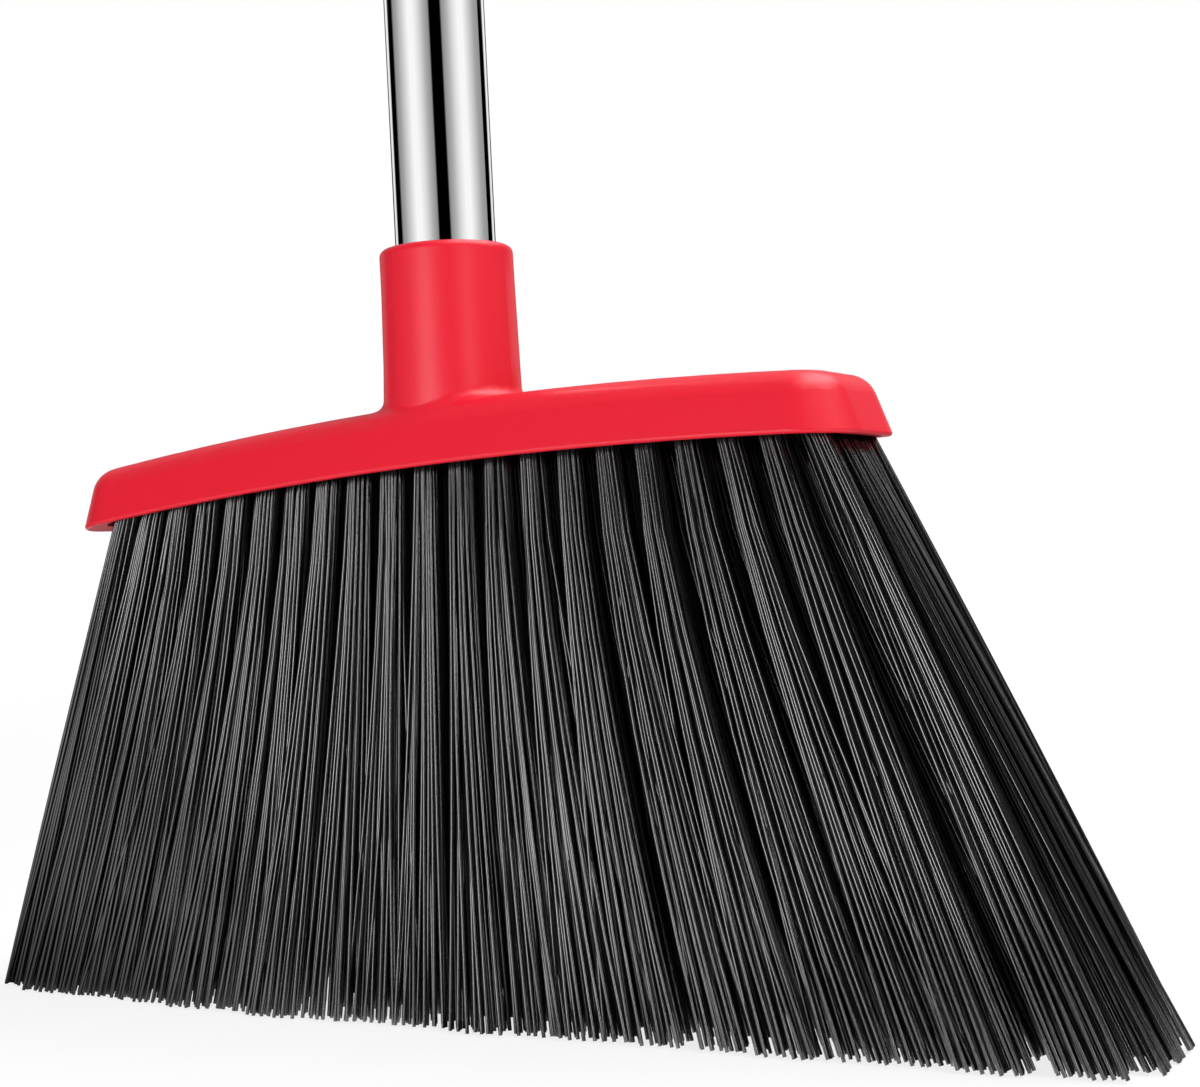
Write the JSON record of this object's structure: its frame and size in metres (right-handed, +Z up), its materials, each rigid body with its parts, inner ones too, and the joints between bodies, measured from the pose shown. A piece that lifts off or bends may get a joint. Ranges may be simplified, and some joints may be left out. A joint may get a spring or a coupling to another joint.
{
  "type": "angle broom",
  "caption": "Upright angle broom with an arched moulded head, flared bristles trimmed level, and a slim steel tube handle that screws together in sections and hangs by its end cap.",
  "frame": {"origin": "on the floor plane that the trimmed bristle tips touch, straight below the handle's axis", "axes": "+Z up along the handle; +X along the head towards its high end and longer bristles; -Y is the front"},
  "size_m": [0.314, 0.0589, 1.3715],
  "materials": {
    "red_plastic": "moulded, semi-gloss",
    "black_plastic": "moulded, satin",
    "bristle": "extruded strands, slight gloss",
    "stainless_steel": "polished tube",
    "rubber": "moulded, matt",
    "plated_steel": "zinc plated"
  },
  "bodies": {
    "head": {"head_cover": "red_plastic", "bristle_base": "black_plastic", "tuft_anchors": "plated_steel", "bristle_row_front": "bristle", "bristle_row_front_inner": "bristle", "bristle_row_middle": "bristle", "bristle_row_back_inner": "bristle", "bristle_row_back": "bristle", "head_screws": "plated_steel"},
    "lower_ring": {"lower_washer": "rubber"},
    "lower_section": {"lower_plug": "black_plastic", "lower_tube": "stainless_steel", "lower_sleeve": "black_plastic"},
    "middle_ring": {"middle_washer": "rubber"},
    "middle_section": {"middle_plug": "black_plastic", "middle_tube": "stainless_steel", "middle_sleeve": "black_plastic"},
    "upper_ring": {"upper_washer": "rubber"},
    "upper_section": {"upper_plug": "black_plastic", "upper_tube": "stainless_steel", "hanging_cap": "red_plastic"}
  },
  "joints": [
    {"name": "lower_travel", "type": "slide", "parent": "head", "child": "lower_ring", "axis": [0, 0, 1], "range_m": [0, 0.0175]},
    {"name": "lower_screw", "type": "hinge", "parent": "lower_ring", "child": "lower_section", "pos_m": [0, 0, 0.165], "axis": [0, 0, 1], "range_deg": [0, 1260]},
    {"name": "middle_travel", "type": "slide", "parent": "lower_section", "child": "middle_ring", "axis": [0, 0, 1], "range_m": [0, 0.0175]},
    {"name": "middle_screw", "type": "hinge", "parent": "middle_ring", "child": "middle_section", "pos_m": [0, 0, 0.5545], "axis": [0, 0, 1], "range_deg": [0, 1260]},
    {"name": "upper_travel", "type": "slide", "parent": "middle_section", "child": "upper_ring", "axis": [0, 0, 1], "range_m": [0, 0.0175]},
    {"name": "upper_screw", "type": "hinge", "parent": "upper_ring", "child": "upper_section", "pos_m": [0, 0, 0.944], "axis": [0, 0, 1], "range_deg": [0, 1260]}
  ],
  "couplings": [
    {"joint": "lower_screw", "follows": "lower_travel", "rad_per_m": 1256.6},
    {"joint": "middle_screw", "follows": "middle_travel", "rad_per_m": 1256.6},
    {"joint": "upper_screw", "follows": "upper_travel", "rad_per_m": 1256.6}
  ]
}
